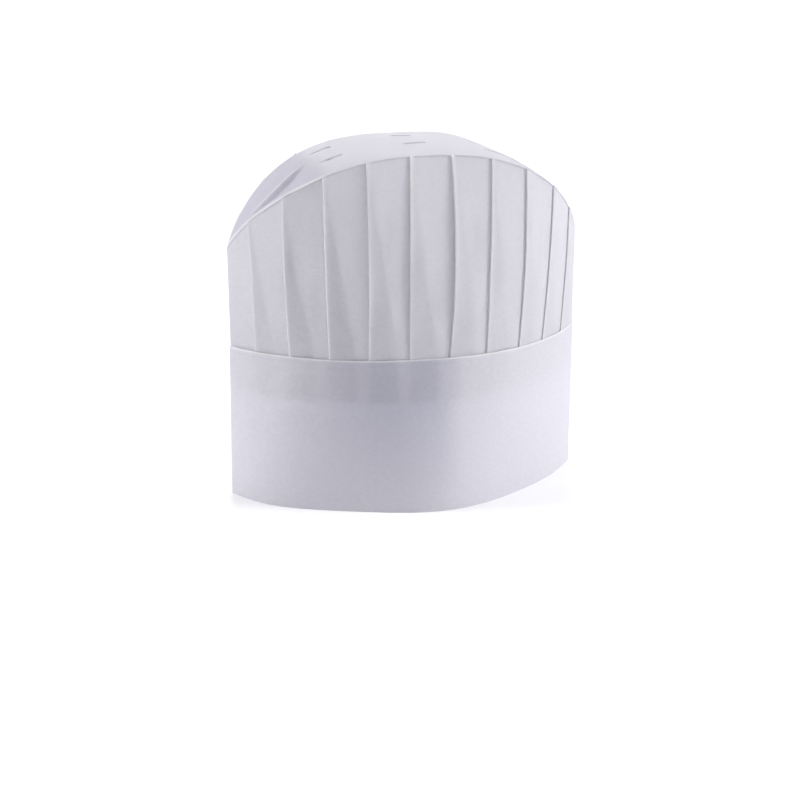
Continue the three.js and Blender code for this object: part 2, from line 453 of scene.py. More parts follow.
def add_node(
    tree: bpy.types.NodeTree,
    kind: str,
    settings: dict[str | int, Any] | None = None,
    links: dict[str | int, bpy.types.NodeSocket] | None = None,
) -> bpy.types.bpy_prop_collection:
    """Adds a node with its settings and links.

    Args:
        tree: The node tree to add to.
        kind: The node's type.
        settings: Values for the node's own properties, or else for the inputs of that name or number.
        links: The output that feeds each input.

    Returns:
        The new node's outputs.
    """
    node = tree.nodes.new(kind)
    for key, value in (settings or {}).items():
        if isinstance(key, str) and key in node.bl_rna.properties:
            setattr(node, key, value)
        else:
            node.inputs[key].default_value = value
    for key, source in (links or {}).items():
        tree.links.new(source, node.inputs[key])
    return node.outputs


@dataclass(frozen=True)
class NonwovenCloth:
    """Spunbonded non-woven cloth of fine white fibres.

    The fibres are laid loose and pressed together by hot rollers with a lattice of small points. To the
    eye that gives a matt cool white that light passes through, cloudy where the web is thicker, with
    the points as a faint regular grain and a pressed line along each welded edge, which is drawn
    darker with painted shade as well.

    Attributes:
        name: The material's name.
        thick_colour: The colour where the web of fibres is thick.
        thin_colour: The colour where it is thin.
        through_colour: The colour of the light that it lets through.
        weld_and_shade_colour: The tint of a welded edge, where the fibres are pressed to a film, which is
            also painted shade along the seams.
        painted_highlight_colour: The colour of the painted highlight along a pressed crease or edge, where
            broken fibres catch the light.
        painted_shade_colour: The painted shade where layers or shade behind the cloth take some of the light
        that would come through. At the strip's ends the layer under it isn't modelled. On the band the
        painted shade makes the crown's foot and the shade inside the hat show as clearly as on the real one.
        see_through: How much of its light is let through rather than sent back.
        see_through_change: How much more is let through where it is thin, and less where it is thick.
        roughness: How rough it is, near 1 for cloth without gloss.
        gloss: How strongly single fibres shine.
        fuzz: How strongly loose fibre ends light up at a flat angle.
        point_spacing: The spacing of the bond points, in millimetres. Real ones are about 1 mm apart and
            are drawn a little coarser, so that they show.
        point_turn: How the lattice of the points is turned, in degrees.
        point_scatter: How far the points stray from the lattice, from 0 to 1.
        point_edge: How far from its middle a point starts to end and has ended, as shares of the spacing.
        point_depth: How deep a point is, as a share of the web's height.
        grain_height: The height of the web's clouds and strands, in millimetres.
        weld_and_shade_line: How far from a weld its pressed line, partly painted shade, starts to end and
            has ended, in millimetres.
        cloud_size: The size of the clouds in the web, in millimetres.
        fibre_size: The length and width of the strands that the fibres bunch into, in millimetres.
        fibre_turns: How the two sets of strands are turned, in degrees.
        web_range: The sums of clouds and strands at which the web is thinnest and thickest.
    """

    name: str
    thick_colour: str = "F0EFF3"
    thin_colour: str = "E4E3E8"
    through_colour: str = "F0EFF2"
    weld_and_shade_colour: str = "E6E6E9"
    painted_highlight_colour: str = "FFFFFF"
    painted_shade_colour: str = "F1F1F5"
    see_through: float = 0.55
    see_through_change: float = 0.04
    roughness: float = 0.9
    gloss: float = 0.25
    fuzz: float = 0.1
    point_spacing: float = 1.7
    point_turn: float = 45.0
    point_scatter: float = 0.25
    point_edge: tuple[float, float] = (0.18, 0.42)
    point_depth: float = 0.7
    grain_height: float = 0.06
    weld_and_shade_line: tuple[float, float] = (0.5, 1.6)
    cloud_size: float = 3.0
    fibre_size: tuple[float, float] = (4.0, 0.5)
    fibre_turns: tuple[float, float] = (35.0, -50.0)
    web_range: tuple[float, float] = (1.1, 1.9)

    def build(self) -> bpy.types.Material:
        """Makes the material: a matt surface mixed with light let through from behind.

        Returns:
            The material, which reads the piece's cloth map and its marks.
        """
        material = bpy.data.materials.new(self.name)
        material.use_nodes = True
        tree = material.node_tree
        tree.nodes.clear()
        cloth = add_node(tree, "ShaderNodeUVMap", {"uv_map": CLOTH_MAP})["UV"]
        points, web = self.bond_points(tree, cloth), self.web(tree, cloth)
        distance, painted_shade, crease = (
            add_node(tree, "ShaderNodeAttribute", {"attribute_name": name})["Fac"]
            for name in (SEAM_DISTANCE, PAINTED_SHADE, PAINTED_HIGHLIGHT)
        )
        # Along a welded edge the fibres are pressed to a film, which looks greyer; the grey also holds
        # painted shade.
        start, end = self.weld_and_shade_line
        settings = SMOOTH_FALL | {"From Min": start, "From Max": end}
        weld = add_node(tree, "ShaderNodeMapRange", settings, {"Value": distance})["Result"]
        # Each colour starts from a plain one, over which others are laid, the last two on both alike.
        of_web = (web, Blend.COVER, self.thick_colour)
        of_weld = (weld, Blend.TINT, self.weld_and_shade_colour)
        film = (weld, Blend.COVER, self.weld_and_shade_colour)
        # Painted shade and a painted highlight are laid over both colours.
        both = ((painted_shade, Blend.TINT, self.painted_shade_colour), (crease, Blend.COVER, self.painted_highlight_colour))
        colours: list[bpy.types.NodeSocket] = []
        for plain, layers in ((self.thin_colour, (of_web, of_weld)), (self.through_colour, (film,))):
            under, links = {6: linear(plain)}, {}
            for share, blend, over in (*layers, *both):
                settings = {"data_type": "RGBA", "blend_type": blend.value, 7: linear(over)}
                colour = add_node(tree, "ShaderNodeMix", settings | under, links | {0: share})[2]
                under, links = {}, {6: colour}
            colours.append(colour)
        surface_colour, through_colour = colours
        pressed = {"operation": "MULTIPLY", 1: -self.point_depth}
        dips = add_node(tree, "ShaderNodeMath", pressed, {0: points})[0]
        height = add_node(tree, "ShaderNodeMath", {"operation": "ADD"}, {0: dips, 1: web})[0]
        relief = {"Strength": 1.0, "Distance": self.grain_height * MM}
        bump = add_node(tree, "ShaderNodeBump", relief, {"Height": height})["Normal"]
        matt = {"Roughness": self.roughness, "Specular IOR Level": self.gloss, "Sheen Weight": self.fuzz}
        sockets = {"Base Color": surface_colour, "Normal": bump}
        front = add_node(tree, "ShaderNodeBsdfPrincipled", matt, sockets)["BSDF"]
        sockets = {"Color": through_colour, "Normal": bump}
        behind = add_node(tree, "ShaderNodeBsdfTranslucent", {}, sockets)["BSDF"]
        thin, thick = self.see_through + self.see_through_change, self.see_through - self.see_through_change
        limits = {"To Min": thin, "To Max": thick}
        share = add_node(tree, "ShaderNodeMapRange", limits, {"Value": web})["Result"]
        mixed = add_node(tree, "ShaderNodeMixShader", {}, {0: share, 1: front, 2: behind})[0]
        add_node(tree, "ShaderNodeOutputMaterial", {}, {"Surface": mixed})
        return material

    def bond_points(self, tree: bpy.types.NodeTree, cloth: bpy.types.NodeSocket) -> bpy.types.NodeSocket:
        """A diagonal lattice of small round points.

        Args:
            tree: The material's nodes.
            cloth: The cloth map, in millimetres.

        Returns:
            1 on a point and 0 between them.
        """
        scale = 1 / self.point_spacing
        turn = {"Rotation": (0, 0, math.radians(self.point_turn)), "Scale": (scale, scale, scale)}
        lattice = add_node(tree, "ShaderNodeMapping", turn, {"Vector": cloth})["Vector"]
        cells = {"voronoi_dimensions": "2D", "Scale": 1.0, "Randomness": self.point_scatter}
        distance = add_node(tree, "ShaderNodeTexVoronoi", cells, {"Vector": lattice})["Distance"]
        start, end = self.point_edge
        settings = SMOOTH_FALL | {"From Min": start, "From Max": end}
        return add_node(tree, "ShaderNodeMapRange", settings, {"Value": distance})["Result"]

    def web(self, tree: bpy.types.NodeTree, cloth: bpy.types.NodeSocket) -> bpy.types.NodeSocket:
        """How thick the web of fibres is: clouds, with strands that run two ways across each other.

        Args:
            tree: The material's nodes.
            cloth: The cloth map, in millimetres.

        Returns:
            A number from 0, thin, to 1, thick.
        """
        clouds = {"noise_dimensions": "2D", "Scale": 1 / self.cloud_size, "Detail": 4.0, "Roughness": 0.6}
        total = add_node(tree, "ShaderNodeTexNoise", clouds, {"Vector": cloth})["Fac"]
        length, width = self.fibre_size
        strands = {"noise_dimensions": "2D", "Scale": 1.0, "Detail": 2.0}
        for angle in self.fibre_turns:
            turn = {"Rotation": (0, 0, math.radians(angle)), "Scale": (1 / length, 1 / width, 1)}
            strand = add_node(tree, "ShaderNodeMapping", turn, {"Vector": cloth})["Vector"]
            fibres = add_node(tree, "ShaderNodeTexNoise", strands, {"Vector": strand})["Fac"]
            total = add_node(tree, "ShaderNodeMath", {"operation": "ADD"}, {0: total, 1: fibres})[0]
        thinnest, thickest = self.web_range
        limits = {"From Min": thinnest, "From Max": thickest}
        return add_node(tree, "ShaderNodeMapRange", limits, {"Value": total})["Result"]


@dataclass(frozen=True)
class PaintedFloor:
    """Matt white studio paint on a smooth board: even, pale and without gloss."""

    name: str = "matt_white_studio_paint"
    colour: str = "FAFAFC"
    roughness: float = 0.95
    gloss: float = 0.1

    def build(self) -> bpy.types.Material:
        """Makes the material.

        Returns:
            The paint, rough and hardly shiny.
        """
        material = bpy.data.materials.new(self.name)
        material.use_nodes = True
        sockets = material.node_tree.nodes["Principled BSDF"].inputs
        sockets["Base Color"].default_value = linear(self.colour)
        sockets["Roughness"].default_value = self.roughness
        sockets["Specular IOR Level"].default_value = self.gloss
        return material


def dress(piece: bpy.types.Object, material: bpy.types.Material, node: str) -> None:
    """Gives a piece its material and its place in the hat.

    Args:
        piece: The finished piece.
        material: What it is made of.
        node: The solid that it stands for.
    """
    piece.data.materials.append(material)
    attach(piece, BODY)
    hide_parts(node)


@dataclass
class Headband:
    """The tall plain band that the hat stands on: one strip, creased at both ends of the lens.

    Attributes:
        plan: The hat's sizes.
        folded: Where along the arc each fold of the crown's foot starts and ends.
        cloth: The cloth's thickness, in millimetres as all the lengths here.
        columns: How many columns of points each side has.
        rows: How many rows of points it has.
        edge_depth: How far below the top edge the painted highlight along it ends.
        edge_highlight: How strong that painted highlight is, from 0 to 1.
        weld_depth: How far below the top edge the weld to the crown lies, whose line is partly painted
            shade.
        weld_softness: What is added to the distance from the weld, which makes its line fainter.
        shade_left: Where along the arc the painted shade of the hat's inside starts to show on the band, and
            from where it shows in full, as in the photograph.
        shade_right: Where the painted shade starts to fade again and where it has faded.
        tuck_end: How far below the top edge the painted shade over the crown's foot starts to end and has
            ended.
        fold_blur: How soft the ends of the folds are drawn in the painted shade.
        single_layer: The share of the painted shade where the foot has one layer rather than three.
        open_shade: The share of it just below the foot, from where it fades down to the rim.
    """

    plan: HatPlan
    folded: tuple[tuple[float, float], ...]
    cloth: float = 0.35
    columns: int = 150
    rows: int = 72
    edge_depth: float = 1.4
    edge_highlight: float = 0.5
    weld_depth: float = 3.2
    weld_softness: float = 1.0
    shade_left: tuple[float, float] = (-110.0, -25.0)
    shade_right: tuple[float, float] = (2.0, 25.0)
    tuck_end: tuple[float, float] = (28.0, 30.5)
    fold_blur: float = 1.8
    single_layer: float = 0.75
    open_shade: float = 0.9

    def shade(self, along: Array, below_top: Array) -> Array:
        """How strongly the shade inside the hat shows through the band.

        Args:
            along: Places along the arc.
            below_top: Distances below the top edge.

        Returns:
            The painted shade: a rise and fall along the arc, strongest over the folds of the crown's foot,
            times a drop where the foot ends and a slow fade from there to the rim.
        """
        # Painted shade: darkest over the folds of the crown's foot, lighter just below it, fading to the
        # rim.
        blur = self.fold_blur
        layers = sum(
            plateau(along, (start - blur, start + blur), (end - blur, end + blur))
            for start, end in self.folded
        )
        at_foot = self.single_layer + (1 - self.single_layer) * layers
        over_foot = 1 - smooth_step(below_top, *self.tuck_end)
        height = self.plan.band_height
        fade = np.minimum((height - below_top) / (height - self.tuck_end[1]), 1)
        shown = plateau(along, self.shade_left, self.shade_right)
        return shown * (at_foot * over_foot + self.open_shade * fade * (1 - over_foot))

    def build(self, material: bpy.types.Material) -> bpy.types.Object:
        """Builds the band: the front arc of the lens carried straight up, and its twin at the back.

        Args:
            material: What it is made of.

        Returns:
            The dressed piece.
        """
        plan = self.plan
        along = np.linspace(-plan.half_flat, plan.half_flat, self.columns, endpoint=False)[None, :]
        up = (shares_up(self.rows) * plan.band_height)[:, None]
        x, y = plan.front_arc(along, self.cloth / 2, up)
        front = np.stack([x, y, np.broadcast_to(up, x.shape)], axis=-1)
        middle = with_back(front)
        plan.settle(middle)
        height = np.broadcast_to(up, middle.shape[:2])
        below_top = plan.band_height - height
        # Painted highlight along the band's top edge.
        edge = self.edge_highlight * (1 - smooth_step(below_top, self.edge_depth / 2, self.edge_depth))
        # The weld line below the band's top edge: partly the weld's film, partly painted shade.
        distance = np.abs(below_top - self.weld_depth) + self.weld_softness
        # The shade is read from the photograph, which shows the front, so the back is left without it.
        front_shade = self.shade(along, below_top[:, : self.columns])
        piece = Sheet(
            name="headband_cloth",
            middle=middle,
            thickness=self.cloth,
            across=lengths_along(middle[0]),
            up=height,
            seam_distance=distance,
            crease=edge,
            painted_shade=np.concatenate([front_shade, np.zeros_like(front_shade)], axis=1),
            wraps=True,
        ).build()
        dress(piece, material, "headband")
        return piece


@dataclass(frozen=True)
class Fold:
    """One pleat fold, in millimetres. Three values are for the headband, halfway up and the top seam.

    Attributes:
        drift: How far it lies to the right of its even place.
        underlap: How far the cloth that it hides reaches at the headband.
        lift: How far its edge stands off the facet beside it.
        highlight_strength: How strong the painted highlight along its crease is, from 0 to 1.
    """

    drift: tuple[float, float, float]
    underlap: float
    lift: tuple[float, float, float]
    highlight_strength: tuple[float, float, float]


FOLDS = (
    Fold(drift=(0.4, 0.0, -1.4), underlap=15, lift=(0.1, 0.3, 0.2), highlight_strength=(0.1, 0.1, 0.1)),
    Fold(drift=(-0.6, -2.5, -2.4), underlap=17, lift=(0.1, 0.6, 0.4), highlight_strength=(0.4, 0.4, 0.4)),
    Fold(drift=(0.1, -1.4, -1.8), underlap=18, lift=(0.1, 0.7, 0.5), highlight_strength=(0.5, 0.4, 0.5)),
    Fold(drift=(-0.5, 0.1, -0.2), underlap=19, lift=(0.1, 0.7, 0.5), highlight_strength=(0.6, 0.4, 0.6)),
    Fold(drift=(-0.4, -0.1, 1.2), underlap=19, lift=(0.1, 1.4, 0.5), highlight_strength=(0.5, 0.3, 1.0)),
    Fold(drift=(-0.3, 2.7, 1.1), underlap=18, lift=(0.1, 1.8, 0.5), highlight_strength=(0.2, 0.3, 1.0)),
    Fold(drift=(-0.8, 0.4, 0.9), underlap=18, lift=(0.1, 0.7, 0.4), highlight_strength=(0.2, 0.4, 0.4)),
    Fold(drift=(-1.0, 1.0, 0.1), underlap=17, lift=(0.1, 0.6, 0.4), highlight_strength=(0.2, 0.2, 0.2)),
    Fold(drift=(-3.4, -0.3, 0.9), underlap=16, lift=(0.1, 0.4, 0.3), highlight_strength=(0.2, 0.2, 0.2)),
    Fold(drift=(-4.4, -1.0, 1.5), underlap=15, lift=(0.1, 0.3, 0.3), highlight_strength=(0.2, 0.2, 0.2)),
)


@dataclass
class PleatedCrown:
    """The knife-pleated side wall: one strip folded all round, its foot inside the headband.

    Each row of the wall is a line that zigzags. A facet runs to the right and on under the next fold,
    turns back on itself, and comes out again at the fold's edge as the next facet.

    Attributes:
        plan: The hat's sizes.
        cloth: The cloth's thickness, in millimetres as all the lengths here.
        layer_pitch: How far apart the layers of a fold lie.
        pitch: How far apart the folds are along the headband.
        tuck: How far the foot goes down inside the headband.
        foot_depth: How far inside the headband's outer face the foot stands.
        bulge: How far the wall swells out halfway up.
        seam_spread: How much longer the seam is than the foot, as a share.
        end_power: How sharply the swell and the spread stop at the creases.
        seam_underlap: How far the hidden cloth still reaches at the seam.
        underlap_power: How fast its reach narrows on the way up.
        facet_bow: How far a facet is bowed at the headband, halfway up and at the seam.
        facet_crowding: The power that draws a facet's columns toward its fold.
        relaxed_share: The share of a facet that it takes to lie flat beside its fold.
        highlight_width: How wide the painted highlight along a pressed crease is.
        top_poke: How far a fold's edge stands above the seam.
        poke_width: How wide that rise is.
        top_sink: How far a facet's edge lies below the seam.
        hidden_sink: How far the hidden layers' edges lie below it.
        top_reach: How far below the seam these rises and falls start.
        ripple_height: How far above the headband the ripples have died out.
        tuck_rows: How many rows of points the foot has.
        wall_rows: How many the wall has.
        facet_steps: How many steps a facet has across it.
        layer_steps: How many a hidden layer has.
        turn_steps: How many a turn has.
        folds: The folds from left to right.
        waves: The wall's ripples.
        share: Each row's share of the way from the headband to the seam.
        drop: How far below the headband's top each row lies.
        foot_height: Each row's height in the headband, or the headband's height for a row above it.
        places: Where along the arc each row's facets start and end.
    """

    plan: HatPlan
    cloth: float = 0.28
    layer_pitch: float = 0.42
    pitch: float = 27.3
    tuck: float = 29.0
    foot_depth: float = 0.55
    bulge: float = 2.0
    seam_spread: float = 0.017
    end_power: int = 4
    seam_underlap: float = 1.5
    underlap_power: float = 1.2
    facet_bow: tuple[float, float, float] = (0.6, 0.35, 0.35)
    facet_crowding: float = 1.3
    relaxed_share: float = 0.6
    highlight_width: float = 1.4
    top_poke: float = 0.2
    poke_width: float = 2.0
    top_sink: float = 0.15
    hidden_sink: float = 1.2
    top_reach: float = 6.0
    ripple_height: float = 120.0
    tuck_rows: int = 8
    wall_rows: int = 46
    facet_steps: int = 15
    layer_steps: int = 6
    turn_steps: int = 6
    folds: tuple[Fold, ...] = FOLDS
    waves: tuple[Wave, ...] = (
        Wave(61.0, 83.0, 0.2, 0.25),
        Wave(-34.0, 47.0, 0.6, 0.15),
        Wave(19.0, -120.0, 0.9, 0.1),
    )
    share: Array = field(init=False)
    drop: Array = field(init=False)
    foot_height: Array = field(init=False)
    places: Array = field(init=False)

    def __post_init__(self) -> None:
        """Works out each row's share of the way up, its drop below the band's top, and the folds' places."""
        tucked = np.linspace(self.tuck, 0, self.tuck_rows, endpoint=False)
        self.share = np.concatenate([np.zeros(self.tuck_rows), shares_up(self.wall_rows)])
        self.drop = np.concatenate([tucked, np.zeros(self.wall_rows)])
        self.foot_height = self.plan.band_height - self.drop[:, None]
        middle = (len(self.folds) - 1) / 2
        lines = [
            (index - middle) * self.pitch + through(*fold.drift, self.share)
            for index, fold in enumerate(self.folds)
        ]
        ends = np.full(self.share.shape, self.plan.half_flat)
        self.places = np.stack([-ends, *lines, ends], axis=1)

    def folded_spans(self) -> tuple[tuple[float, float], ...]:
        """Where along the arc each fold starts and ends at the headband's top."""
        starts = self.places[self.tuck_rows, 1:-1]
        return tuple((float(start), float(start + fold.underlap)) for start, fold in zip(starts, self.folds))

    def wall_point(self, along: Array, share: Array) -> Array:
        """A point of the wall's outer face.

        Args:
            along: Distance along the headband's arc.
            share: The share of the way from the headband's top to the top seam.

        Returns:
            The straight line from the arc just inside the band to the seam above it, pushed out by a half
            sine wave.
        """
        foot_x, foot_y = self.plan.front_arc(along, self.foot_depth, self.foot_height)
        inner = 1 - (along / self.plan.half_flat) ** self.end_power
        seam_x = foot_x * (1 + self.seam_spread * inner)
        x = foot_x + (seam_x - foot_x) * share
        y = foot_y + (-self.plan.lens(seam_x) - foot_y) * share
        y = y - self.bulge * np.sin(np.pi * share) * inner
        z = self.plan.band_height + (self.plan.arch(seam_x) - self.plan.band_height) * share
        return np.stack(np.broadcast_arrays(x, y, z), axis=-1)

    def inward(self, start: Array, end: Array) -> Array:
        """The level direction into the hat, square to the way from start to end."""
        way = end - start
        return unit(np.stack([-way[..., 1], way[..., 0], np.zeros_like(way[..., 0])], axis=-1))

    def sheet_rows(self) -> tuple[Array, Array, Array]:
        """Lays out the front's zigzag on every row.

        Returns:
            The points in the middle of the cloth by row and column, each one's place along the arc, and
            how strongly it takes the painted highlight along a fold's crease.
        """
        share = self.share[:, None]
        edges = self.wall_point(self.places, share)
        ways = self.inward(edges[:, :-1], edges[:, 1:])
        inset = np.array([self.cloth / 2 / math.sin(self.plan.crease_angle), 0.0, 0.0])
        left, right = edges[:, 0] + inset, edges[:, -1] - inset
        stack = self.cloth / 2 + 2 * self.layer_pitch
        parts: list[Array] = []
        places: list[Array] = []
        creases: list[Array] = []
        for index in range(len(self.folds) + 1):
            inward = ways[:, index]
            is_first, is_last = index == 0, index == len(self.folds)
            start = left if is_first else edges[:, index] + inward * self.cloth / 2
            end = right if is_last else edges[:, index + 1] + ways[:, index + 1] * stack
            length = np.linalg.norm(end - start, axis=1)[:, None]
            line = self.facet_line() if is_first else self.pleat_line(self.folds[index - 1], length)
            run, depth, top, crease = line
            span = self.places[:, index + 1] - self.places[:, index]
            place = self.places[:, index, None] + span[:, None] * run
            points = start[:, None] + (end - start)[:, None] * run[..., None]
            points += inward[:, None] * depth[..., None]
            points[..., 2] = self.wall_point(place, share)[..., 2] + top * self.near_top(place)
            parts.append(points)
            places.append(place)
            creases.append(crease)
        return tuple(np.concatenate(part, axis=1) for part in (parts, places, creases))

    def near_top(self, place: Array) -> Array:
        """How near the top seam each row is.

        Args:
            place: Places along the arc, by row and column.

        Returns:
            The square of a line that rises from 0, at the reach below the seam, to 1 at it.
        """
        foot_x = self.plan.front_arc(place, self.foot_depth, self.foot_height)[0]
        height = self.plan.arch(foot_x) - self.plan.band_height
        return np.clip(1 - (1 - self.share[:, None]) * height / self.top_reach, 0, 1) ** 2

    def facet_line(self) -> tuple[Array, Array, Array, Array]:
        """The facet beside the left crease: a straight run, given as a pleat's line is."""
        run = np.tile(np.linspace(0, 1, self.facet_steps + 1), (len(self.share), 1))
        return run, np.zeros_like(run), np.full_like(run, -self.top_sink), np.zeros_like(run)

    def pleat_line(self, fold: Fold, length: Array) -> tuple[Array, Array, Array, Array]:
        """One pleat: the hidden layer, the turn back, the middle layer, the fold and the facet.

        Args:
            fold: The fold at its left.
            length: The facet's length on each row.

        Returns:
            By row and column, the share of the way along the facet, the depth inward from it, how far
            the cloth's top stands above the seam, and how strongly it takes the painted highlight along the
            fold's crease. The two turns are half circles.
        """
        share = self.share[:, None]
        narrowing = (1 - share) ** self.underlap_power
        reach = fold.underlap * narrowing + self.seam_underlap * share
        lift = through(*fold.lift, share)
        out = np.linspace(0, 1, self.layer_steps + 1)[None, 1:]
        angle = np.linspace(0, np.pi, self.turn_steps + 1)[None, 1:-1]
        half = self.layer_pitch / 2
        ones = np.ones_like(share)
        hidden_run, hidden_depth = reach * out, 2 * self.layer_pitch * ones * np.ones_like(out)
        back_run, back_depth = reach + half * np.sin(angle), 3 * half + half * np.cos(angle) * ones
        middle = np.linspace(1, 0, self.layer_steps + 1)[None, :]
        middle_run = reach * middle
        middle_depth = self.layer_pitch - lift / 2 * (1 - middle) ** 2
        fold_half = (self.layer_pitch + lift / 2) / 2
        fold_run, fold_depth = -fold_half * np.sin(angle), -lift + fold_half + fold_half * np.cos(angle)
        facet = np.linspace(0, 1, self.facet_steps + 1)[None, :] ** self.facet_crowding
        facet_run = length * facet
        relaxed = np.clip(1 - facet / self.relaxed_share, 0, 1) ** 2
        bow = through(*self.facet_bow, share)
        facet_depth = -lift * relaxed - bow * np.sin(np.pi * facet)
        sunk = -self.hidden_sink
        hidden_top = [np.full_like(part, sunk) for part in (hidden_run, back_run, middle_run)]
        turn = (1 - np.cos(angle)) / 2 * ones
        fold_top = sunk + (self.top_poke - sunk) * turn
        poke = np.exp(-facet_run / self.poke_width)
        facet_top = -self.top_sink + (self.top_poke + self.top_sink) * poke
        run = np.concatenate([hidden_run, back_run, middle_run, fold_run, facet_run], axis=1) / length
        depth = np.concatenate([hidden_depth, back_depth, middle_depth, fold_depth, facet_depth], axis=1)
        top = np.concatenate([*hidden_top, fold_top, facet_top], axis=1)
        creases = [np.zeros_like(hidden_run), np.zeros_like(back_run)]
        # Painted highlight along the fold's crease, where the fold's edge catches the light.
        white = through(*fold.highlight_strength, share)
        for part in (middle_run, fold_run, facet_run):
            creases.append(white * np.exp(-((part / self.highlight_width) ** 2)))
        return run, depth, top, np.concatenate(creases, axis=1)

    def build(self, material: bpy.types.Material) -> bpy.types.Object:
        """Builds the wall from the zigzag rows, with soft ripples that move all layers together.

        Args:
            material: What it is made of.

        Returns:
            The dressed piece.
        """
        front, place, crease = self.sheet_rows()
        height = front[..., 2]
        climb = np.clip((height - self.plan.band_height) / self.ripple_height, 0, 1)
        front[..., 1] -= ripple(place, height, self.waves) * np.sin(np.pi * climb)
        front[..., 2] -= self.drop[:, None]
        front, crease = front[:, :-1], crease[:, :-1]
        middle = with_back(front)
        self.plan.settle(middle)
        band_row = middle[self.tuck_rows]
        # The crown's weld line under the top seam: partly the weld's film, partly painted shade under the
        # strip's edge.
        distance = np.maximum(middle[-1:, :, 2] - middle[..., 2], 0)
        piece = Sheet(
            name="crown_pleats",
            middle=middle,
            thickness=self.cloth,
            across=lengths_along(band_row),
            up=middle[..., 2],
            seam_distance=distance,
            crease=np.concatenate([crease, crease], axis=1),
            painted_shade=np.zeros_like(distance),
            wraps=True,
        ).build()
        dress(piece, material, "pleated_crown")
        return piece


@dataclass(frozen=True)
class EndDent:
    """The fold pushed into the strip near each end, left by folding the hat flat.

    Attributes:
        reach: Places along the hat, from its middle, for which the ridge's shares are given.
        ridge: The share of the strip's half width where its far side starts to fall.
        valley_width: How far from the ridge it is deepest, in millimetres.
        edge_width: How far from the seam its near side has risen again.
        least_climb: The shortest way over which that side may rise.
        rise: Where it starts and where it is deepest, from the middle of the hat.
        fade: Where it starts to fade and where it ends.
        depth: How deep it is.
        ridge_lift: How far the cloth stands up along the ridge.
        ridge_width: How wide that swell is.
        ridge_shift: How far it lies from where the far side starts to fall.
        highlight_width: How wide the painted highlight along the ridge's pressed crease is.
        highlight_strength: How strong that painted highlight is, from 0 to 1.
    """

    reach: tuple[float, ...] = (66.0, 82.0, 95.0, 103.0, 112.0)
    ridge: tuple[float, ...] = (-0.02, 0.27, 0.52, 0.64, 0.70)
    valley_width: float = 4.5
    edge_width: float = 5.0
    least_climb: float = 1.0
    rise: tuple[float, float] = (66.0, 84.0)
    fade: tuple[float, float] = (100.0, 112.0)
    depth: float = 2.2
    ridge_lift: float = 1.3
    ridge_width: float = 2.8
    ridge_shift: float = 1.0
    highlight_width: float = 1.6
    highlight_strength: float = 0.6

    def shape(self, x: Array, side: Array, width: Array) -> tuple[Array, Array]:
        """Works out the dent at the left end toward the front seam, and at the right toward the back one.

        Args:
            x: Places along the hat.
            side: Shares of the strip's half width, from -1 to 1.
            width: The strip's half width at each place along.

        Returns:
            How far the dent lowers the strip, and how strongly each point takes the painted highlight along
            the ridge's crease. The dent is a rise and fall along the hat times a groove across it, less the
            small swell along its ridge. The groove falls steeply from the ridge and climbs back slowly
            toward the seam.
        """
        reach, across = np.abs(x), side * np.sign(x)
        along = plateau(reach, self.rise, self.fade)
        past_ridge = (across - np.interp(reach, self.reach, self.ridge)) * width
        before_seam = (1 - across) * width - self.edge_width
        way = np.maximum(before_seam + past_ridge - self.valley_width, self.least_climb)
        groove = smooth_step(past_ridge, 0, self.valley_width) * smooth_step(before_seam / way, 0, 1)
        from_ridge = past_ridge + self.ridge_shift
        swell = np.exp(-((from_ridge / self.ridge_width) ** 2))
        # Painted highlight along the ridge's crease.
        crease = np.exp(-((from_ridge / self.highlight_width) ** 2))
        return (self.depth * groove - self.ridge_lift * swell) * along, self.highlight_strength * crease * along


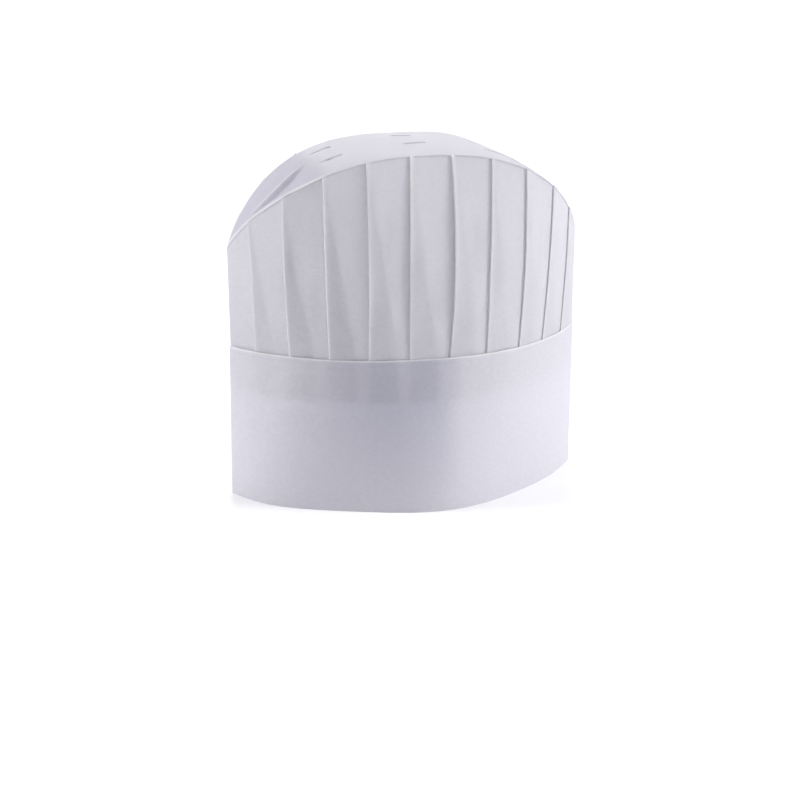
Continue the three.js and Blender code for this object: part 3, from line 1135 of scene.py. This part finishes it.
@dataclass
class TopStrip:
    """The smooth strip that closes the top between the two arches, with its punched vent slits.

    Attributes:
        plan: The hat's sizes.
        cloth: The cloth's thickness, in millimetres as all the lengths here.
        crown: How far the strip rises above the arch along its middle.
        edge_inset: How far inside the seam its edge lies.
        edge_roll: How far its edge is rolled down.
        edge_roll_width: How wide that roll is.
        reach: The share of the way to the creases that its columns cover.
        least_half_width: Half its width at the points.
        columns: How many columns of points it has.
        rows: How many rows of points it has.
        slit_length: How long a slit is.
        slit_width: How wide it is.
        slit_columns: Where the slits are along the hat.
        slit_rows: Where they are across it.
        slit_points: How many corners a slit's outline has.
        punch_rise: How far the punches stand above the hat.
        tucked_from: Where along the hat the painted shade for the layer tucked under the strip starts and
            where it shows fully.
        tuck_edge: How far from the seam that painted shade starts to show and shows fully.
        rim_highlight: How strong the painted highlight along the rim of the strip's ends is, from 0 to 1.
        rim_fade: How far from the seam that starts to fade and has faded.
        dent: The fold near each end.
        waves: The strip's ripples.
    """

    plan: HatPlan
    cloth: float = 0.4
    crown: float = 2.8
    edge_inset: float = 0.45
    edge_roll: float = 0.35
    edge_roll_width: float = 2.0
    reach: float = 0.985
    least_half_width: float = 0.15
    columns: int = 220
    rows: int = 110
    slit_length: float = 15.5
    slit_width: float = 5.0
    slit_columns: tuple[float, ...] = (-56.0, 0.0, 56.0)
    slit_rows: tuple[float, ...] = (-19.0, 19.0)
    slit_points: int = 24
    punch_rise: float = 20.0
    tucked_from: tuple[float, float] = (58.0, 74.0)
    tuck_edge: tuple[float, float] = (2.0, 5.0)
    rim_highlight: float = 0.35
    rim_fade: tuple[float, float] = (1.5, 3.5)
    dent: EndDent = EndDent()
    waves: tuple[Wave, ...] = (
        Wave(70.0, 90.0, 0.3, 0.25),
        Wave(-41.0, 60.0, 0.7, 0.15),
    )

    def surface(self) -> tuple[Array, Array, Array, Array]:
        """Works out the strip over X and the share of its width.

        Returns:
            The points in the middle of the cloth by row and column, each one's distance to the seam and
            nearness to a crease, and the length along the arch of each column. The surface is the arch
            carried sideways, crowned by a parabola, less the dents and the roll along its edges.
        """
        turn = np.linspace(-1, 1, self.columns) * math.pi / 2 * self.reach
        x = (self.plan.half_length * np.sin(turn))[None, :]
        side = np.sin(np.linspace(-1, 1, self.rows) * math.pi / 2)[:, None]
        width = np.maximum(self.plan.lens(x) - self.edge_inset, self.least_half_width)
        y = side * width
        distance = (1 - np.abs(side)) * width
        roll = self.edge_roll * np.clip(1 - distance / self.edge_roll_width, 0, 1) ** 2
        inner = 1 - (x / self.plan.half_length) ** 2
        lift = self.crown * (1 - side**2) * inner - self.cloth / 2 - roll
        fall, crease = self.dent.shape(x, side, width)
        lift = lift - fall + ripple(x, y, self.waves) * inner * (1 - side**2)
        out, up = self.plan.arch_normal(x)
        points = np.stack(np.broadcast_arrays(x + out * lift, y, self.plan.arch(x) + up * lift), axis=-1)
        self.plan.settle(points)
        steps = np.hypot(np.diff(x[0]), np.diff(self.plan.arch(x[0])))
        return points, distance, crease, np.concatenate([[0.0], np.cumsum(steps)])

    def punch(self, piece: bpy.types.Object) -> None:
        """Cuts the slits with oblong prisms that have round ends, which are then deleted.

        Args:
            piece: The strip.
        """
        angle = np.linspace(0, 2 * np.pi, self.slit_points, endpoint=False)
        straight, radius = (self.slit_length - self.slit_width) / 2, self.slit_width / 2
        # A tiny turn settles which round end takes each of the two points halfway between the ends.
        ends = np.sign(np.cos(angle + LEAST_TURN))
        outline_x, outline_y = radius * np.cos(angle) + straight * ends, radius * np.sin(angle)
        levels = (self.plan.side_height, self.plan.crown_height + self.punch_rise)
        places = [(x, y, z) for x in self.slit_columns for y in self.slit_rows for z in levels]
        rings = [
            np.stack([outline_x + x, outline_y + y, np.full_like(angle, z)], axis=1) for x, y, z in places
        ]
        points = np.concatenate(rings) * MM
        faces: list[list[int]] = []
        for low, high in np.arange(len(points)).reshape(-1, 2, self.slit_points):
            faces += np.stack([low, np.roll(low, -1), np.roll(high, -1), high], axis=1).tolist()
            faces += [low[::-1].tolist(), high.tolist()]
        mesh = bpy.data.meshes.new("slit_punches")
        mesh.from_pydata(points.tolist(), [], faces)
        cutter = put_in_scene("slit_punches", mesh)
        cut = piece.modifiers.new("slits", "BOOLEAN")
        cut.operation = "DIFFERENCE"
        cut.solver = "EXACT"
        cut.object = cutter
        bpy.context.view_layer.objects.active = piece
        bpy.ops.object.modifier_apply(modifier=cut.name)
        bpy.data.objects.remove(cutter)

    def build(self, material: bpy.types.Material) -> bpy.types.Object:
        """Builds the strip and punches its slits.

        Args:
            material: What it is made of.

        Returns:
            The dressed piece.
        """
        points, distance, crease, across = self.surface()
        # Painted shade at the strip's ends, for a layer tucked under it that isn't modelled.
        at_ends = smooth_step(np.abs(points[..., 0]), *self.tucked_from)
        # Painted highlight along the rim of the strip's ends.
        rim = self.rim_highlight * (1 - smooth_step(distance, *self.rim_fade)) * at_ends
        piece = Sheet(
            name="top_cloth",
            middle=points,
            thickness=self.cloth,
            across=across,
            up=points[..., 1],
            seam_distance=np.full_like(distance, FAR_FROM_WELD),
            crease=np.maximum(crease, rim),
            painted_shade=at_ends * smooth_step(distance, *self.tuck_edge),
            wraps=False,
        ).build()
        self.punch(piece)
        piece.data.set_sharp_from_angle(angle=SHARP_EDGE)
        dress(piece, material, "top_strip")
        return piece


@dataclass(frozen=True)
class SoftLight:
    """A wide soft light a long way off.

    Attributes:
        name: The light's name.
        azimuth: The side that it comes from in degrees, 0 from the front and 90 from the right.
        elevation: Its height above the horizon in degrees.
        strength: How strong it is.
        spread: How wide it looks, in degrees.
    """

    name: str
    azimuth: float
    elevation: float
    strength: float
    spread: float

    def build(self) -> None:
        """Makes the light and points it at the hat."""
        data = bpy.data.lights.new(self.name, "SUN")
        data.energy = self.strength
        data.angle = math.radians(self.spread)
        towards = direction(self.azimuth, self.elevation)
        put_in_scene(self.name, data).rotation_euler = towards.to_track_quat("Z", "Y").to_euler()


@dataclass
class Studio:
    """A pale floor, soft lights and the camera at the photograph's angle.

    Attributes:
        floor_size: The length of the floor's sides, in metres.
        sky: The colour of the light from all round.
        sky_strength: How strong that light is.
        aim: The point that the camera's axis goes through, in metres.
        azimuth: The side from which the camera looks, in degrees, 0 from the front.
        elevation: How far it looks down, in degrees.
        distance: How far it is from the aim, in metres.
        sensor_width: The width of its sensor, in millimetres.
        focal_pixels: Its focal length, in the photograph's pixels.
        frame_pixels: The photograph's width and height.
        axis_pixel: Where in the photograph the camera's axis lies, from the left and from the top.
        far_clip: How far away it still sees the floor, in metres.
        lights: The lights, with strengths fitted to the photograph's tones.
    """

    floor_size: float = 60.0
    sky: str = "F4F4F8"
    sky_strength: float = 0.12
    aim: tuple[float, float, float] = (0.0, 0.0, 0.115)
    azimuth: float = -14.495
    elevation: float = 15.772
    distance: float = 0.91418
    sensor_width: float = 36.0
    focal_pixels: float = 1310.675
    frame_pixels: float = 800.0
    axis_pixel: tuple[float, float] = (407.286, 321.48)
    far_clip: float = 200.0
    lights: tuple[SoftLight, ...] = (
        SoftLight("overhead", azimuth=0, elevation=78, strength=1.23, spread=50),
        SoftLight("left_window", azimuth=-105, elevation=18, strength=2.6, spread=25),
        SoftLight("right_window", azimuth=70, elevation=18, strength=2.72, spread=25),
        SoftLight("right_back", azimuth=110, elevation=45, strength=0.22, spread=40),
        SoftLight("behind", azimuth=172, elevation=18, strength=1.95, spread=25),
        SoftLight("behind_right", azimuth=150, elevation=18, strength=0.55, spread=25),
    )

    def build_floor(self) -> None:
        """Makes the floor: one wide level sheet at the height that the hat stands on."""
        half = self.floor_size / 2
        corners = [(-half, -half, 0.0), (half, -half, 0.0), (half, half, 0.0), (-half, half, 0.0)]
        mesh = bpy.data.meshes.new("studio_floor")
        mesh.from_pydata(corners, [], [(0, 1, 2, 3)])
        mesh.materials.append(PaintedFloor().build())
        floor = put_in_scene("studio_floor", mesh)

    def build_sky(self) -> None:
        """Lights everything evenly from all round, and keeps colours as they are."""
        scene = bpy.context.scene
        scene.world = bpy.data.worlds.new("studio_sky")
        scene.world.use_nodes = True
        sockets = scene.world.node_tree.nodes["Background"].inputs
        sockets["Color"].default_value = linear(self.sky)
        sockets["Strength"].default_value = self.sky_strength
        scene.view_settings.view_transform = "Standard"

    def build_camera(self) -> None:
        """Makes the camera, with its frame shifted as the photograph's is."""
        data = bpy.data.cameras.new("studio_camera")
        data.sensor_width = self.sensor_width
        data.lens = self.focal_pixels * self.sensor_width / self.frame_pixels
        data.shift_x = (self.frame_pixels / 2 - self.axis_pixel[0]) / self.frame_pixels
        data.shift_y = (self.axis_pixel[1] - self.frame_pixels / 2) / self.frame_pixels
        data.clip_end = self.far_clip
        camera = put_in_scene("studio_camera", data)
        back = direction(self.azimuth, self.elevation)
        camera.location = Vector(self.aim) + back * self.distance
        camera.rotation_euler = back.to_track_quat("Z", "Y").to_euler()
        bpy.context.scene.camera = camera

    def build(self) -> None:
        """Builds the floor, the sky, the lights and the camera."""
        self.build_camera()
        self.build_floor()
        self.build_sky()
        for light in self.lights:
            light.build()
        log.info("studio: %d lights", len(self.lights))


def main() -> None:
    """Loads the frame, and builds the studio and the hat's pieces."""
    logging.basicConfig(level=logging.INFO, format="%(name)s: %(message)s")
    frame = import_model()
    log.info("frame: %s", sorted(frame["nodes"]))
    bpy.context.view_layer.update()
    Studio().build()
    plan = HatPlan()
    cloth = NonwovenCloth(name="spunbonded_nonwoven_cloth").build()
    # The band looks a little cooler in the photograph than the crown, and lets less light through, so it
    # is taken to be cut from a heavier grade of the same cloth.
    band_cloth = NonwovenCloth(
        name="heavy_spunbonded_nonwoven_cloth",
        thick_colour="EFEEF4",
        thin_colour="E2E1E9",
        # The band's painted shade is drawn deeper.
        painted_shade_colour="E9E9EF",
        see_through=0.44,
    ).build()
    crown = PleatedCrown(plan)
    band = Headband(plan, crown.folded_spans())
    for piece in (band.build(band_cloth), crown.build(cloth), TopStrip(plan).build(cloth)):
        log.info("%s: %d faces", piece.name, len(piece.data.polygons))


if __name__ == "__main__":
    main()
